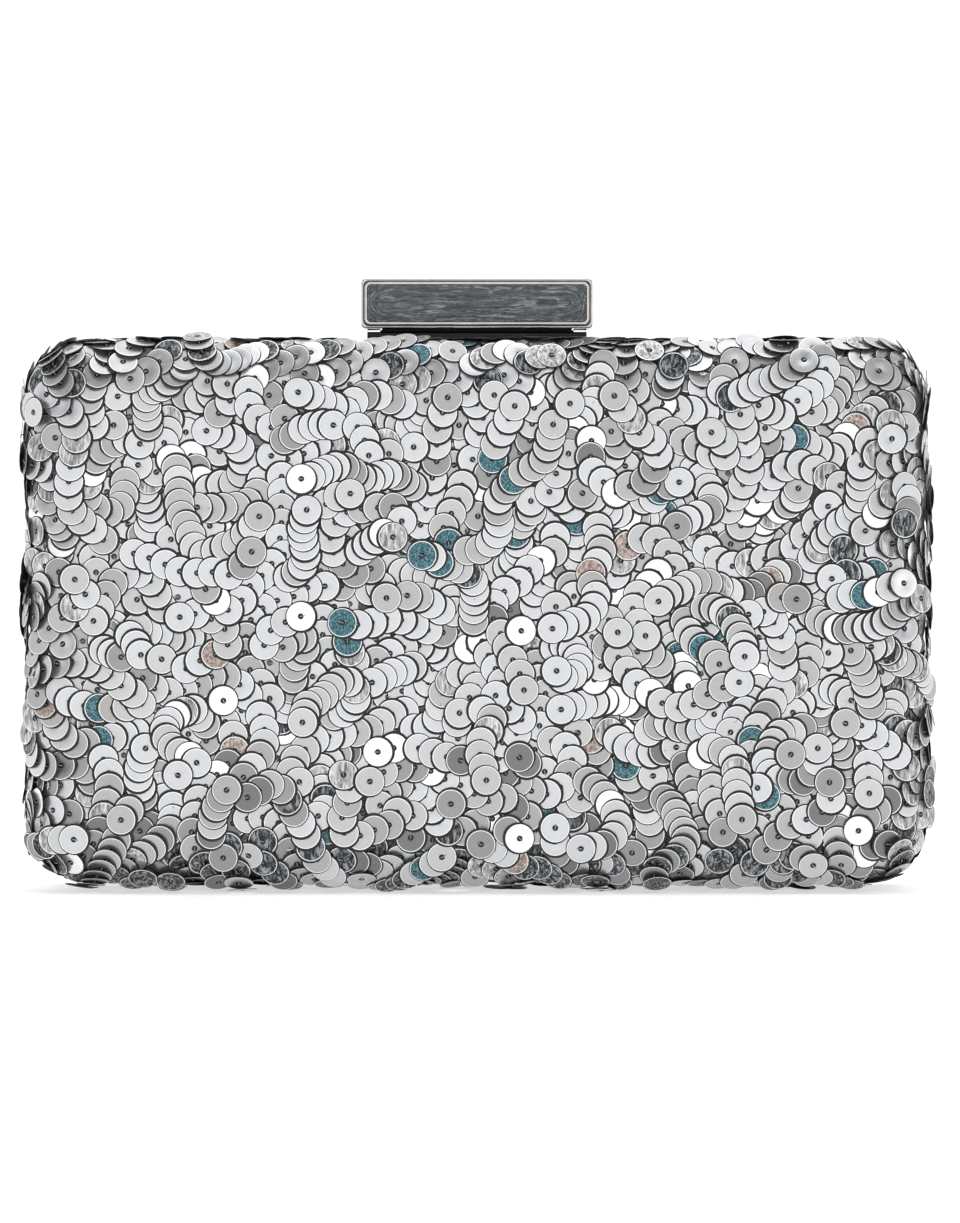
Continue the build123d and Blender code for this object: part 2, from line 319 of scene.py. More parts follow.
def settle(pos, normal, along, rank, rng):
    """Heights and tilts of the sequins, so that each one lies over those sewn before it.

    Each height and tilt is pulled to its own resting value, while every overlapping pair is
    pushed apart to SEQUIN_GAP and no rim sinks into the cloth."""
    n = len(pos)
    side = np.cross(normal, along)
    tree = KDTree(n)
    for i, p in enumerate(pos):
        tree.insert(p, i)
    tree.balance()
    up, low = [], []
    for i, p in enumerate(pos):
        for _, j, _ in tree.find_range(p, 2 * SEQUIN_R * 0.995):
            if rank[i] > rank[j]:
                up.append(i)
                low.append(j)
    up, low = np.array(up), np.array(low)
    mid = (pos[up] + pos[low]) / 2
    span = pos[up] - pos[low]
    dist = np.linalg.norm(span, axis=1)
    span /= dist[:, None]
    mean = normal[up] + normal[low]
    mean /= np.linalg.norm(mean, axis=1)[:, None]
    cross = np.cross(mean, span)
    half_chord = np.sqrt(np.maximum(SEQUIN_R ** 2 - (dist / 2) ** 2, 0))
    half_lens = SEQUIN_R - dist / 2
    marks = [(0, 0), (0.9, 0), (-0.9, 0), (0, 0.8), (0, -0.8),     # where two discs overlap, as shares of
             (0.5, 0.4), (-0.5, 0.4), (0.5, -0.4), (-0.5, -0.4)]    # the overlap's half length and half width
    rows = []
    for c, s in marks:
        q = mid + cross * (half_chord * c)[:, None] + span * (half_lens * s)[:, None]
        row = []
        for who, sign in ((up, 1), (low, -1)):
            slope = 1 / np.maximum((mean * normal[who]).sum(1), 0.3)
            row.append((sign * slope * ((pos[who] - q) * normal[who]).sum(1),
                        sign * slope,
                        sign * slope * ((q - pos[who]) * along[who]).sum(1),
                        sign * slope * ((q - pos[who]) * side[who]).sum(1)))
        rows.append(row)
    const = np.concatenate([r[0][0] + r[1][0] for r in rows])
    ups, lows = np.tile(up, len(marks)), np.tile(low, len(marks))
    cu = [np.concatenate([r[0][k] for r in rows]) for k in (1, 2, 3)]
    cl = [np.concatenate([r[1][k] for r in rows]) for k in (1, 2, 3)]
    w = (1.0, 0.2 / SEQUIN_R ** 2, 0.2 / SEQUIN_R ** 2)   # heights are metres and slopes are plain numbers
    loose = 1 + 3.2 * np.abs(normal[:, 0]) + 0.3 * np.abs(normal[:, 2])    # wilder on the ends of the bag
    var = [rng.uniform(0.25 * MM, 0.35 * MM, n),
           -0.06 + rng.normal(0, 0.035, n) * loose,
           rng.normal(0, 0.04, n) * loose]
    rest = [v.copy() for v in var]
    total = sum(w[k] * (cu[k] ** 2 + cl[k] ** 2) for k in range(3))
    angles = np.linspace(0, 2 * math.pi, 8, endpoint=False)
    for turn in range(420):
        if turn < 300:
            for k in range(3):
                var[k] += (0.05, 0.02, 0.02)[k] * (rest[k] - var[k])
        value = const + sum(cu[k] * var[k][ups] + cl[k] * var[k][lows] for k in range(3))
        short = SEQUIN_GAP - value
        on = short > 0
        push = np.where(on, short / total, 0)
        count = np.bincount(ups[on], minlength=n) + np.bincount(lows[on], minlength=n)
        share = 1.5 / np.maximum(count, 1)
        for k in range(3):
            moved = (np.bincount(ups, push * cu[k] * w[k], n) + np.bincount(lows, push * cl[k] * w[k], n))
            var[k] += moved * share
        for a in angles:
            ca, sa = SEQUIN_R * math.cos(a), SEQUIN_R * math.sin(a)
            under = -SINK - (var[0] + ca * var[1] + sa * var[2])
            fix = np.maximum(under, 0) / (1 + w[1] * (ca * ca + sa * sa)) * 0.6
            var[0] += fix
            var[1] += fix * ca * w[1]
            var[2] += fix * sa * w[2]
    return var


# ---------------------------------------------------------------- materials

def material(name, build, **values):
    """A node material: build(nt, principled) adds the pattern."""
    mat = bpy.data.materials.new(name)
    mat.use_nodes = True
    nt = mat.node_tree
    p = nt.nodes["Principled BSDF"]
    for key, value in values.items():
        p.inputs[key.replace("_", " ")].default_value = value
    build(nt, p)
    return mat


def node(nt, kind, links=(), **values):
    """A node with its plain values and links: links are (input, output socket)."""
    n = nt.nodes.new(kind)
    for key, value in values.items():
        if key in n.inputs:
            n.inputs[key].default_value = value
        elif key.replace("_", " ") in n.inputs:
            n.inputs[key.replace("_", " ")].default_value = value
        else:
            setattr(n, key, value)
    for socket, source in links:
        nt.links.new(source, n.inputs[socket])
    return n


def coords(nt, scale=(1, 1, 1), turn=(0, 0, 0)):
    """Object coordinates in millimetres, scaled."""
    tex = nt.nodes.new("ShaderNodeTexCoord")
    m = node(nt, "ShaderNodeMapping", [("Vector", tex.outputs["Object"])])
    m.inputs["Scale"].default_value = [s * 1000 for s in scale]
    m.inputs["Rotation"].default_value = turn
    return m.outputs["Vector"]


def noise(nt, vector, scale, detail=3.0, rough=0.5, distort=0.0):
    return node(nt, "ShaderNodeTexNoise", [("Vector", vector)], Scale=scale, Detail=detail,
                Roughness=rough, Distortion=distort).outputs["Fac"]


def span(nt, source, low, high, start=0.3, end=0.7):
    """source from start to end becomes low to high."""
    n = node(nt, "ShaderNodeMapRange", [("Value", source)])
    for key, value in (("From Min", start), ("From Max", end), ("To Min", low), ("To Max", high)):
        n.inputs[key].default_value = value
    return n.outputs["Result"]


def ramp(nt, source, stops):
    n = node(nt, "ShaderNodeValToRGB", [("Fac", source)])
    while len(n.color_ramp.elements) < len(stops):
        n.color_ramp.elements.new(0.5)
    for e, (at, colour) in zip(n.color_ramp.elements, stops):
        e.position = at
        e.color = (*colour, 1)
    return n.outputs["Color"]


def bump(nt, p, height, distance, strength=1.0):
    n = node(nt, "ShaderNodeBump", [("Height", height)], Strength=strength, Distance=distance)
    nt.links.new(n.outputs["Normal"], p.inputs["Normal"])


def foil_pattern(nt, p, rough=(0.26, 0.4)):
    """Fine rolling scratches and smudges in a sequin's foil."""
    v = coords(nt)
    streak = noise(nt, coords(nt, (2.4, 2.4, 0.5), (0.4, 0.3, 0.8)), 1.1, 4.0, 0.6)
    cloud = noise(nt, v, 0.45, 2.0)
    both = node(nt, "ShaderNodeMath", [(0, streak), (1, cloud)], operation="ADD").outputs[0]
    nt.links.new(span(nt, both, rough[0], rough[1], 0.75, 1.25), p.inputs["Roughness"])
    bump(nt, p, noise(nt, v, 0.9, 3.0), 0.02 * MM, 0.35)


def foil(name, colour, metal=0.85, rough=(0.26, 0.4)):
    return material(name, lambda nt, p: foil_pattern(nt, p, rough), Base_Color=(*colour, 1), Metallic=metal,
                    Coat_Weight=0.15, Coat_Roughness=0.2)


def mirroring(name, dark, middle, light, scale, streaks):
    """A sequin with a painted reflection of its surroundings in its colour, broken into specks or drawn out
    into streaks.
    """
    def build(nt, p):
        long = 1 - 0.75 * streaks
        v = coords(nt, (1, 1, long), (0.5, 0.9, 0.4))
        fac = noise(nt, v, scale, 3.0, 0.7, 0.6 * streaks)
        nt.links.new(ramp(nt, fac, ((0.36, dark), (0.49, middle), (0.64, light))), p.inputs["Base Color"])
        nt.links.new(span(nt, fac, 0.25, 0.5), p.inputs["Roughness"])
        bump(nt, p, fac, 0.03 * MM, 0.4)
    return material(name, build, Metallic=0.55)


def grey(level, tint=0.0):
    """A grey from an sRGB level; tint above 0 is cool and below 0 is warm."""
    base = ((level + 0.055) / 1.055) ** 2.4
    return (base * (1 - 0.5 * tint), base * (1 - 0.1 * abs(tint)), base * (1 + 0.5 * tint))


# The plain foils are lit and shaded copies of one silver foil: each grey is a painted reflection, the
# lightest a painted glint, and the shares by the bottom edge lean to the darker greys as painted shade.
PLAIN_TONES = [   # level, tint, share of the sequins, share of those by the bottom edge
    (0.812, 0.04, 0.35, 0.05), (0.778, 0.03, 0.20, 0.08), (0.742, 0.01, 0.14, 0.12),
    (0.700, -0.015, 0.10, 0.12), (0.660, -0.035, 0.085, 0.13), (0.590, -0.01, 0.05, 0.26),
    (0.985, 0.00, 0.055, 0.03), (0.470, 0.01, 0.016, 0.26)]
LIGHT_TONES = 4                      # the first few run on along a chain more often than the rest
SPECIAL_SHARES = np.array((          # share everywhere, and what edges, the bag's ends and underside add, as painted reflection and shade
    (0.021, 0, 0, 0),                # teal
    (0.007, 0, 0, 0),                # rose
    (0.032, 0.14, 0.40, 0),          # streaked
    (0.014, 0.05, 0.18, 0.40)))      # dark


def metal_pattern(nt, p, base, rough, streak=(1, 1, 1), depth=0.004):
    """Polished or brushed metal, duller and darker where it is recessed: painted shade from an occlusion
    node.
    """
    v = coords(nt, streak)
    fac = noise(nt, v, 0.35, 4.0, 0.6)
    colour = ramp(nt, fac, ((0.35, [c * 0.86 for c in base]), (0.65, base)))
    # Painted shade: the colour is scaled down where nearby geometry occludes it.
    painted_shade = node(nt, "ShaderNodeAmbientOcclusion", [("Color", colour)], samples=6, Distance=1.2 * MM)
    sunk = span(nt, painted_shade.outputs["AO"], 0.02, 1.0, 0.45, 0.85)
    shade = node(nt, "ShaderNodeVectorMath", [(0, colour), ("Scale", sunk)], operation="SCALE").outputs[0]
    nt.links.new(shade, p.inputs["Base Color"])
    nt.links.new(span(nt, noise(nt, v, 1.6, 5.0, 0.7), rough[0], rough[1]), p.inputs["Roughness"])
    bump(nt, p, noise(nt, v, 3.0, 2.0), depth * MM, 0.5)


def metal(name, base, rough, streak=(1, 1, 1), depth=0.004):
    return material(name, lambda nt, p: metal_pattern(nt, p, base, rough, streak, depth), Metallic=1.0)


INLAY_MID_Z = sum(c.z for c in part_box("clasp_inlay")) / 2
INLAY_STRAIGHT = 19.2 * MM           # half the length over which the enamel's lines run straight


def enamel_pattern(nt, p):
    """Marbled enamel: fine lines drawn out along the bar, turning round at its ends."""
    split = node(nt, "ShaderNodeSeparateXYZ", [("Vector", coords(nt))])
    size = node(nt, "ShaderNodeMath", [(0, split.outputs["X"])], operation="ABSOLUTE").outputs[0]
    past = node(nt, "ShaderNodeMath", [(0, size)], operation="SUBTRACT")
    past.inputs[1].default_value = INLAY_STRAIGHT / MM
    past = node(nt, "ShaderNodeMath", [(0, past.outputs[0])], operation="MAXIMUM")
    past.inputs[1].default_value = 0.0
    up = node(nt, "ShaderNodeMath", [(0, split.outputs["Z"])], operation="SUBTRACT")
    up.inputs[1].default_value = INLAY_MID_Z / MM
    arm = node(nt, "ShaderNodeCombineXYZ", [("X", past.outputs[0]), ("Y", up.outputs[0])])
    turn = node(nt, "ShaderNodeVectorMath", [(0, arm.outputs[0])], operation="LENGTH").outputs["Value"]
    place = node(nt, "ShaderNodeCombineXYZ", [("X", split.outputs["X"]), ("Y", up.outputs[0]), ("Z", turn)])
    warp = node(nt, "ShaderNodeTexNoise", [("Vector", coords(nt, (0.16, 0.4, 0.4)))], Scale=1.0, Detail=4.0)
    shift = node(nt, "ShaderNodeVectorMath", [(0, warp.outputs["Color"])], operation="SCALE", Scale=4.6)
    flow = node(nt, "ShaderNodeVectorMath", [(0, place.outputs[0])], operation="MULTIPLY")
    flow.inputs[1].default_value = (0.11, 0.7, 2.4)
    at = node(nt, "ShaderNodeVectorMath", [(0, flow.outputs[0]), (1, shift.outputs[0])], operation="ADD")
    fine = noise(nt, at.outputs[0], 1.0, 5.0, 0.7, 0.4)
    colour = ramp(nt, fine, ((0.33, (0.012, 0.014, 0.015)), (0.46, (0.055, 0.063, 0.068)),
                             (0.54, (0.105, 0.12, 0.13)), (0.68, (0.36, 0.40, 0.43))))
    nt.links.new(colour, p.inputs["Base Color"])
    nt.links.new(span(nt, fine, 0.12, 0.26), p.inputs["Roughness"])
    bump(nt, p, fine, 0.02 * MM, 0.3)


def weave_pattern(nt, p, dark, light, pitch=0.45, depth=0.06):
    """A plain weave: two crossed waves, with slubs."""
    turns = ((0, 0, 0), (0, math.pi / 2, 0))
    waves = [node(nt, "ShaderNodeTexWave", [("Vector", coords(nt, (1, 1, 1), t))], Scale=1 / pitch / 3.2,
                  Distortion=0.6, Detail=1.0).outputs["Fac"] for t in turns]
    both = node(nt, "ShaderNodeMath", [(0, waves[0]), (1, waves[1])], operation="MULTIPLY").outputs[0]
    slub = noise(nt, coords(nt), 0.7, 3.0)
    fac = node(nt, "ShaderNodeMath", [(0, both), (1, slub)], operation="ADD").outputs[0]
    nt.links.new(ramp(nt, fac, ((0.35, dark), (1.0, light))), p.inputs["Base Color"])
    bump(nt, p, fac, depth * MM, 0.8)


def satin_pattern(nt, p):
    v = coords(nt, (3.2, 1, 1))
    fac = noise(nt, v, 1.2, 3.0, 0.6)
    colour = ramp(nt, fac, ((0.3, (0.20, 0.205, 0.215)), (0.7, (0.29, 0.295, 0.31))))
    nt.links.new(colour, p.inputs["Base Color"])
    nt.links.new(span(nt, fac, 0.32, 0.48), p.inputs["Roughness"])
    bump(nt, p, fac, 0.03 * MM, 0.5)


def plain_noise(dark, light, rough, scale=0.8, depth=0.05):
    def build(nt, p):
        fac = noise(nt, coords(nt), scale, 4.0, 0.6)
        nt.links.new(ramp(nt, fac, ((0.3, dark), (0.7, light))), p.inputs["Base Color"])
        nt.links.new(span(nt, fac, rough[0], rough[1]), p.inputs["Roughness"])
        bump(nt, p, noise(nt, coords(nt), scale * 4, 3.0), depth * MM, 0.6)
    return build


NICKEL = metal("polished_nickel", (0.56, 0.545, 0.525), (0.08, 0.22))
# Near-black metal for the clasp's base and bracket, under the bar.
DARK_CLASP_METAL = metal("dark_clasp_plate", (0.03, 0.026, 0.024), (0.3, 0.5))
STEEL = metal("plain_steel", (0.56, 0.56, 0.55), (0.25, 0.42), (0.25, 2.0, 2.0), 0.01)
SPRING = metal("spring_steel", (0.42, 0.42, 0.43), (0.2, 0.35))
ENAMEL = material("marbled_enamel", enamel_pattern, Coat_Weight=0.3, Coat_Roughness=0.06,
                  Specular_IOR_Level=0.25)
CLOTH = material("base_cloth",
                 lambda nt, p: weave_pattern(nt, p, (0.06, 0.052, 0.047), (0.17, 0.155, 0.145)),
                 Roughness=0.85, Sheen_Weight=0.2)
SATIN = material("lining_satin", satin_pattern, Sheen_Weight=0.35, Sheen_Roughness=0.35, Metallic=0.1)
WADDING = material("wadding", plain_noise((0.62, 0.61, 0.59), (0.8, 0.79, 0.77), (0.9, 0.98), 1.6, 0.3))
BOX = material("box_moulding", plain_noise((0.028, 0.028, 0.03), (0.045, 0.045, 0.048), (0.45, 0.6)))
THREAD = material("clear_thread",
                  plain_noise((0.22, 0.22, 0.22), (0.42, 0.42, 0.42), (0.45, 0.6), 3.0, 0.01))
# Near black for each sequin's sloping edge and hole: a painted shadow under its rim and in its hole.
EDGE_SHADOW = foil("foil_edge_shadow", (0.010, 0.010, 0.011), metal=0.2, rough=(0.5, 0.65))
# Darker grey for every sequin's back: painted shade on the same silver foil.
SHADED_UNDERSIDE = foil("foil_back_shaded", grey(0.42))
# Near-white ring at every sequin's rim: a painted highlight.
RIM_HIGHLIGHT = foil("foil_rim_highlight", (0.90, 0.91, 0.92))
FOILS = [foil(f"foil_{i}", grey(tone[0], tone[1])) for i, tone in enumerate(PLAIN_TONES)]
SPECIAL = [
    mirroring("foil_teal", (0.010, 0.040, 0.052), (0.045, 0.135, 0.165), (0.20, 0.36, 0.40), 2.6, 0.1),
    mirroring("foil_rose", (0.20, 0.13, 0.11), (0.36, 0.27, 0.24), (0.62, 0.58, 0.55), 2.0, 0.3),
    mirroring("foil_streaked", (0.13, 0.135, 0.14), (0.40, 0.40, 0.395), (0.78, 0.78, 0.78), 1.3, 1.0),
    mirroring("foil_dark", (0.008, 0.009, 0.01), (0.05, 0.055, 0.06), (0.40, 0.42, 0.44), 1.5, 0.9)]


# ---------------------------------------------------------------- pieces

def disc_mesh():
    """One sequin round the origin, facing +Z: rings of (radius, height, shift), closed.

    Its cut edge slopes out a little below the foil, more to one side than to the other; coloured near black,
    it is a painted shadow under the rim.
    The knot of its stitch shuts the hole from below."""
    half = SEQUIN_T / 2
    rings = ((0.02 * MM, -half, 0), (SEQUIN_R + SHADOW_SKIRT, -half, SHADOW_SKIRT / 2), (SEQUIN_R, half * 0.7, 0),
             (SEQUIN_R - 0.16 * MM, half, 0), (HOLE_R + 0.1 * MM, half, 0), (HOLE_R, half * 0.6, 0),
             (HOLE_R - 0.02 * MM, -half * 0.6, 0), (0.02 * MM, -half * 0.6, 0))
    a = np.arange(SIDES) * 2 * math.pi / SIDES
    verts = np.concatenate([np.stack([r * np.cos(a) + s, r * np.sin(a), np.full(SIDES, z)], 1)
                            for r, z, s in rings])
    i = np.arange(SIDES)
    j = (i + 1) % SIDES
    quads = []
    for k in range(len(rings)):
        m = (k + 1) % len(rings)
        quads.append(np.stack([k * SIDES + i, m * SIDES + i, m * SIDES + j, k * SIDES + j], 1))
    return verts, np.concatenate(quads)


def thread_mesh():
    """One stitch: up through the hole and down again at its rim."""
    r = 0.13 * MM
    path = np.array([(-0.28, 0.1, -0.4), (-0.22, 0.05, -0.05), (0.0, 0, 0.16),
                     (0.5, -0.1, 0.15), (0.85, -0.14, 0.07)]) * MM
    ways = np.gradient(path, axis=0)
    ways /= np.linalg.norm(ways, axis=1)[:, None]
    side = np.array((0, 1.0, 0))
    verts = []
    for p, w in zip(path, ways):
        up = np.cross(w, side)
        for k in range(4):
            a = math.pi / 2 * (k + 0.5)
            verts.append(p + r * (math.cos(a) * side + math.sin(a) * up))
    quads = []
    for s in range(len(path) - 1):
        for k in range(4):
            quads.append((4 * s + k, 4 * s + (k + 1) % 4, 4 * s + 4 + (k + 1) % 4, 4 * s + 4 + k))
    end = 4 * (len(path) - 1)
    quads += [(3, 2, 1, 0), (end, end + 1, end + 2, end + 3)]
    return np.array(verts), np.array(quads)


def placed(verts, quads, centre, x, y, z, shape=None):
    """Copies of a small mesh at many places: x, y and z are each copy's axes.

    shape is each sequin's bend, its turn and how much of its sloping edge, the painted shadow, it keeps."""
    n, m = len(centre), len(verts)
    local = np.broadcast_to(verts, (n, m, 3)).copy()
    if shape is not None:
        bent, way, kept = shape
        foot, top = local[:, SIDES:2 * SIDES, :2], local[:, 2 * SIDES:3 * SIDES, :2]
        foot += (top - foot) * (1 - kept)[:, None, None]
        ca, sa = np.cos(way)[:, None], np.sin(way)[:, None]
        lx, ly = local[:, :, 0].copy(), local[:, :, 1].copy()
        local[:, :, 2] += bent[:, None] * (ly / SEQUIN_R) ** 2
        local[:, :, 0], local[:, :, 1] = lx * ca - ly * sa, lx * sa + ly * ca
    out = (centre[:, None] + local[:, :, :1] * x[:, None] + local[:, :, 1:2] * y[:, None]
           + local[:, :, 2:] * z[:, None])
    faces = quads[None] + (np.arange(n) * m)[:, None, None]
    return out.reshape(-1, 3), faces.reshape(-1, 4)


def unit(v):
    return v / np.linalg.norm(v, axis=1)[:, None]


def sewing_order(pos, chain, layers, rng):
    """Each sequin's rank: a higher one lies over a lower one, and the last of a chain is its highest.

    Chains are ordered by a drifting pattern at their ends, so that most run in under a neighbour."""
    end = pos[np.searchsorted(chain, np.arange(len(layers)), side="right") - 1] / MM
    drift = np.sin(end[:, 0] / 10 + 2 * np.sin(end[:, 2] / 17))
    drift = drift + np.sin(end[:, 2] / 8 + 1.6 * np.sin(end[:, 0] / 21))
    drift += rng.normal(0, 0.1, len(drift))
    order = np.argsort(np.argsort(drift)) - 10000 * layers      # those that fill gaps lie lowest
    return order[chain] * 1000 + np.arange(len(chain)) - np.searchsorted(chain, chain)


def choose_tones(pos, normal, chain, rng):
    """Each sequin's foil: an index into FOILS, or past them into SPECIAL."""
    shares = np.cumsum([t[2] for t in PLAIN_TONES])
    duller = np.cumsum([t[3] for t in PLAIN_TONES])
    # Painted reflection and shade: more streaked and dark foils where the cover turns to the bag's sides, top
    # and bottom, and beside the clasp.
    edge = np.clip(np.maximum(np.abs(normal[:, 0]), 0.8 * np.abs(normal[:, 2])) * 1.5 - 0.35, 0, 1)
    by_clasp = np.clip((26 * MM - np.abs(pos[:, 0])) / (4 * MM), 0, 1) * np.clip(
        (pos[:, 2] - MID_Z - HALF_H + 7 * MM) / (4 * MM), 0, 1)
    edge = np.maximum(edge, 1.7 * by_clasp)
    right = pos[:, 0] > 0                                       # painted reflection and shade at the bag's ends, stronger at the right end
    painted_shade = np.clip(1.2 - (HALF_W + 1.5 * MM - np.abs(pos[:, 0])) / np.where(right, 10 * MM, 7 * MM), 0, 1)
    painted_shade = painted_shade * np.where(right, 1, 0.75)
    # Painted shade: dark foils underneath, and duller greys towards the bottom edge.
    sunk = np.clip(-1.6 * normal[:, 2] - 0.1, 0, 1)             # underneath
    low = np.clip((MID_Z - 0.4 * HALF_H - pos[:, 2]) / (0.75 * HALF_H), 0, 1)
    tone = np.zeros(len(pos), int)
    for i in range(len(pos)):
        pick, keep, odd = rng.random(3)
        table = shares * (1 - low[i]) + duller * low[i]
        tone[i] = np.searchsorted(table / table[-1], pick)
        last = tone[i - 1] if i > 0 and chain[i] == chain[i - 1] else len(FOILS)
        if last < len(FOILS) and keep < (0.5 if last < LIGHT_TONES else 0.15):
            tone[i] = last
        limits = np.cumsum(SPECIAL_SHARES @ (1, edge[i], painted_shade[i], sunk[i]))
        if odd < limits[-1]:
            tone[i] = len(FOILS) + int(np.searchsorted(limits, odd))
    return tone


def sew(half, back, seed):
    """All the sequins of one half, with their stitches."""
    rng = np.random.default_rng(seed)
    uv, heading, chain, layers = lay_chains(rng)
    pos, normal = chart(uv)
    eps = 0.2 * MM
    ahead = chart(uv + eps * np.stack([np.cos(heading), np.sin(heading)], 1))[0] - pos
    along = unit(ahead - normal * (ahead * normal).sum(1)[:, None])
    high, tip, roll = settle(pos, normal, along, sewing_order(pos, chain, layers, rng), rng)
    side = np.cross(normal, along)
    z = unit(normal - along * tip[:, None] - side * roll[:, None])
    x = unit(along - z * (along * z).sum(1)[:, None])
    y = np.cross(z, x)
    centre = pos + normal * high[:, None]
    bent = rng.normal(0, 0.035 * MM, len(pos))
    way = rng.uniform(0, 2 * math.pi, len(pos))
    # the painted shadow under each rim shrinks where the cover turns away
    kept = 1 - 0.65 * np.maximum(np.abs(normal[:, 0]), np.abs(normal[:, 2]))
    tone = choose_tones(pos, normal, chain, rng)
    disc_v, disc_q = disc_mesh()
    ring = np.arange(len(disc_q)) // SIDES
    back_face, cut, rim = ring == 0, np.isin(ring, (1, 5, 6, 7)), ring == 2     # cut: edge and hole, painted shadow; rim: painted highlight; back_face: painted shade
    across = np.argsort(pos[:, 0], kind="stable")
    plain, odd = across[tone[across] < len(FOILS)], across[tone[across] >= len(FOILS)]
    groups = [(f"{half}_sequins_{k + 1}", part, FOILS, 0) for k, part in enumerate(np.array_split(plain, 4))]
    groups += [(f"{half}_sequins_coloured_{k + 1}", part, SPECIAL, len(FOILS))
               for k, part in enumerate(np.array_split(odd, 2))]
    for name, part, mats, first in groups:
        shape = (bent[part], way[part], kept[part])
        v, q = placed(disc_v, disc_q, centre[part], x[part], y[part], z[part], shape)
        v, q = mirrored(v, q, back)
        which = np.repeat(tone[part] - first, len(disc_q)).reshape(len(part), len(disc_q))
        # The cut faces get the near-black painted shadow, the rim ring the near-white painted highlight, the
        # back the darker painted shade.
        for faces, extra in ((cut, 0), (rim, 1), (back_face, 2)):
            which[:, faces] = len(mats) + extra
        mats = mats + [EDGE_SHADOW, RIM_HIGHLIGHT, SHADED_UNDERSIDE]
        smooth(new_mesh(name, v, q, f"{half}_half", mats, which.ravel()), 25)
    thread_v, thread_q = thread_mesh()
    v, q = placed(thread_v, thread_q, centre, x, y, z)
    v, q = mirrored(v, q, back)
    new_mesh(f"{half}_stitches", v, q, f"{half}_half", [THREAD])


def cover(half, back):
    """The base cloth, turned in at its edge."""
    outside = [(d * REACH, 0.0) for d in np.linspace(0, 1, 26)]
    hem = [(REACH + 0.15 * MM, 0.12 * MM), (REACH + 0.2 * MM, 0.5 * MM), (REACH + 0.15 * MM, 0.85 * MM)]
    inside = [(d * REACH, 0.95 * MM) for d in np.linspace(1, 0, 20)]
    v, q = tray(outside + hem + inside, 240)
    v, q = mirrored(v, q, back)
    ob = smooth(new_mesh(f"{half}_cover_cloth", v, q, f"{half}_half", [CLOTH]), 60)
    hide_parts(f"{half}_cover")
    return ob


def padding(half, back):
    """Wadding between cloth and box, thin at the edge."""
    outside = [(d * (REACH - 0.6 * MM), 1.05 * MM) for d in np.linspace(0, 1, 22)]
    inside = [(d * (REACH - 0.6 * MM), 2.45 * MM) for d in np.linspace(1, 0, 18)]
    v, q = tray(outside + inside, 200, swell=False)
    v, q = mirrored(v, q, back)
    ob = smooth(new_mesh(f"{half}_padding_wadding", v, q, f"{half}_half", [WADDING]), 60)
    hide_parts(f"{half}_padding")
    return ob


def lining(half, back):
    """Satin lining, glued in with a few soft pulls, and turned in along the rim."""
    far = REACH + RIM_Y - 1.1 * MM

    def pulls(uv, pos):
        soft = np.sin(uv[:, 0] / (7.3 * MM) + 2 * np.sin(uv[:, 1] / (23 * MM)))
        soft += 0.6 * np.sin(uv[:, 1] / (5.1 * MM) + 1.7 * np.sin(uv[:, 0] / (31 * MM)))
        near_rim = np.clip((-pos[:, 1] - 2 * MM) / (6 * MM), 0, 1)
        return 0.10 * MM * soft * near_rim

    outside = [(d * far, 4.42 * MM) for d in np.linspace(0, 1, 24)]
    inside = [(d * far, 5.05 * MM) for d in np.linspace(1, 0, 40)]
    v, q = tray(outside + [(far + 0.08 * MM, 4.75 * MM)] + inside, 280, lift=pulls, swell=False, inner=26)
    v, q = mirrored(v, q, back)
    ob = smooth(new_mesh(f"{half}_lining_satin", v, q, f"{half}_half", [SATIN]), 60)
    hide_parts(f"{half}_lining")
    return ob


def pocket():
    """Slip pocket: a folded satin panel, sewn at the sides and foot, a little slack at its mouth."""
    lo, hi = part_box("slip_pocket")
    cols, rows, t = 96, 52, 0.5 * MM
    back_y = hi.y - 0.25 * MM
    verts = []
    for layer in (0, 1):
        for j in range(rows + 1):
            for i in range(cols + 1):
                s, r = i / cols, j / rows
                belly = (math.sin(math.pi * s) ** 0.6) * min(1, r * 3) * 1.15 * MM
                slack = 0.28 * MM * r * r * math.sin(math.pi * s) * math.sin(9 * s + 1.3)
                y = back_y - belly - slack - (0 if layer else t)
                droop = 0.9 * MM * r * math.sin(math.pi * s) * (r > 0.5) * (2 * r - 1)
                verts.append((lo.x + (hi.x - lo.x) * s, y, lo.z + (hi.z - lo.z) * r - droop))
    n = (cols + 1) * (rows + 1)

    def at(layer, i, j):
        return layer * n + j * (cols + 1) + i

    quads = []
    for j in range(rows):
        for i in range(cols):
            quads.append((at(0, i, j), at(0, i + 1, j), at(0, i + 1, j + 1), at(0, i, j + 1)))
            quads.append((at(1, i, j), at(1, i, j + 1), at(1, i + 1, j + 1), at(1, i + 1, j)))
    for i in range(cols):
        quads.append((at(0, i, 0), at(1, i, 0), at(1, i + 1, 0), at(0, i + 1, 0)))
        quads.append((at(0, i, rows), at(0, i + 1, rows), at(1, i + 1, rows), at(1, i, rows)))
    for j in range(rows):
        quads.append((at(0, 0, j), at(0, 0, j + 1), at(1, 0, j + 1), at(1, 0, j)))
        quads.append((at(0, cols, j), at(1, cols, j), at(1, cols, j + 1), at(0, cols, j + 1)))
    ob = smooth(new_mesh("slip_pocket_satin", np.array(verts), np.array(quads), "back_half",
                         [SATIN]), 50)
    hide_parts("slip_pocket")
    return ob


